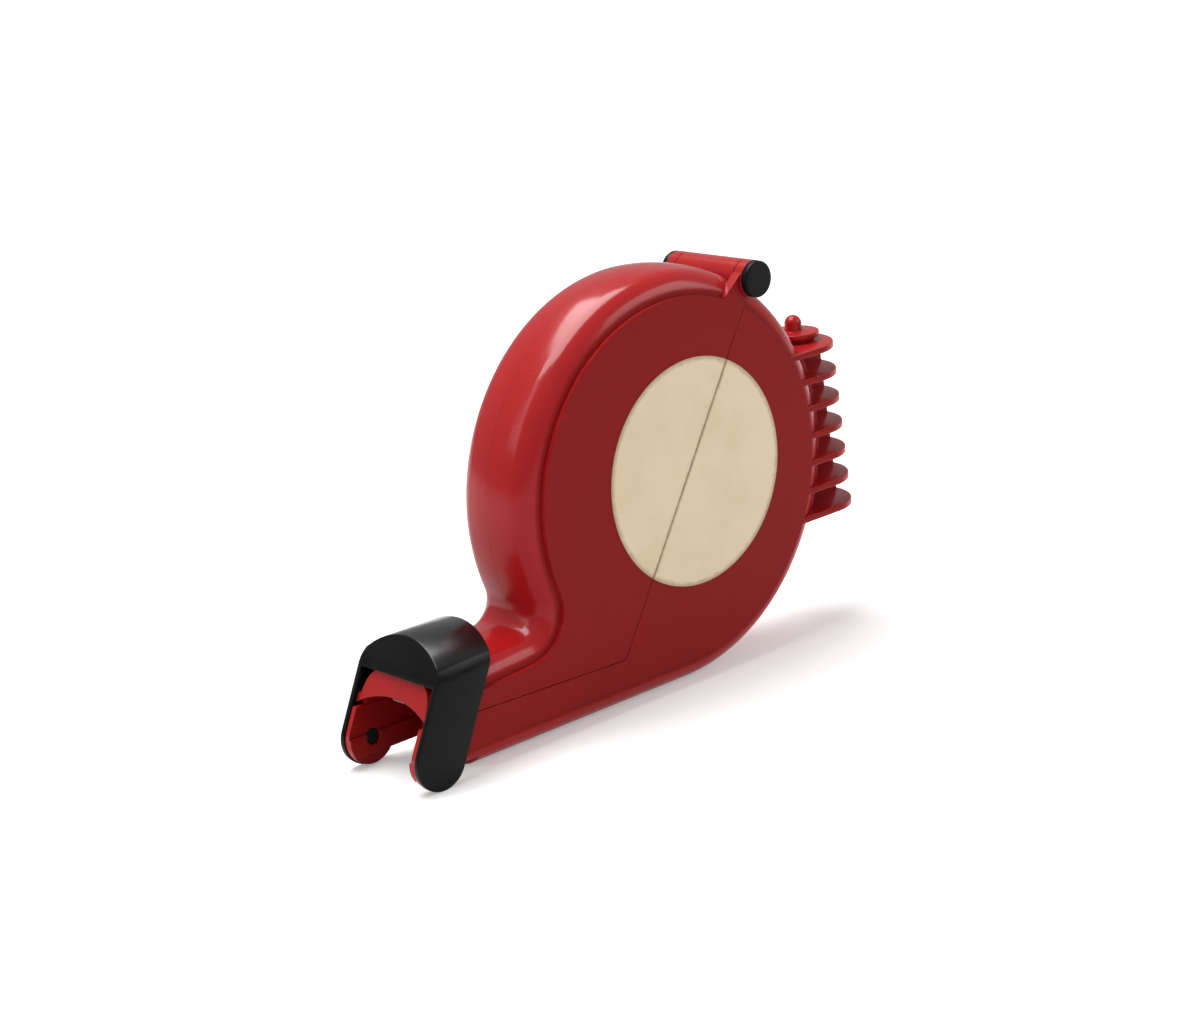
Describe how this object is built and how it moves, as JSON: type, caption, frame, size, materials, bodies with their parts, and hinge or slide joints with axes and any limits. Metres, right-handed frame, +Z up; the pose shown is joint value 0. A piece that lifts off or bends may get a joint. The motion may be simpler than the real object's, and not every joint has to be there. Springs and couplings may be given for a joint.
{
  "type": "take a number ticket dispenser",
  "caption": "Red moulded counter dispenser for a roll of numbered tickets, with a hinged cover, a black hood over the mouth and a finned mount block.",
  "frame": {"origin": "on the surface it stands on, under the drum's axis, on the middle plane between the two side panels", "axes": "+Z up; -X towards the nose and its ticket mouth; +Y across the object, away from the side panel with the label"},
  "size_m": [0.2772, 0.0528, 0.1836],
  "materials": {
    "red_case": "gloss",
    "red_fittings": "gloss",
    "black_hood": "satin",
    "black_trim": "satin",
    "steel": "brushed",
    "label": "satin",
    "paper": "matte",
    "card": "matte"
  },
  "bodies": {
    "base": {"base_near": "red_case", "base_far": "red_case", "hinge_pin": "steel", "hinge_cap_near": "black_trim", "hinge_cap_far": "black_trim", "mount_block": "red_fittings", "mount_pin": "red_fittings", "mount_screws": "steel", "label_base": "label", "strip_guide": "black_trim", "ticket_strip": "paper", "base_dowels": "steel"},
    "cover": {"cover_near": "red_case", "cover_far": "red_case", "label_cover": "label", "brake_leaf": "steel", "brake_rivets": "steel", "cover_dowels": "steel"},
    "hood": {"hood": "black_hood", "hood_studs": "black_trim"},
    "roll": {"ticket_roll": "paper", "roll_core": "card"}
  },
  "joints": [
    {"name": "cover_open", "type": "hinge", "parent": "base", "child": "cover", "pos_m": [0.0487, 0, 0.17107], "axis": [0, 1, 0], "range_deg": [0, 10]},
    {"name": "hood_swing", "type": "hinge", "parent": "base", "child": "hood", "pos_m": [-0.1462, 0, 0.0124], "axis": [0, -1, 0], "range_deg": [0, 112]},
    {"name": "roll_spin", "type": "hinge", "parent": "base", "child": "roll", "pos_m": [0, 0, 0.0809], "axis": [0, 1, 0], "continuous": true}
  ],
  "couplings": [
    {"joint": "hood_swing", "follows": "cover_open", "ratio": 11.2}
  ]
}
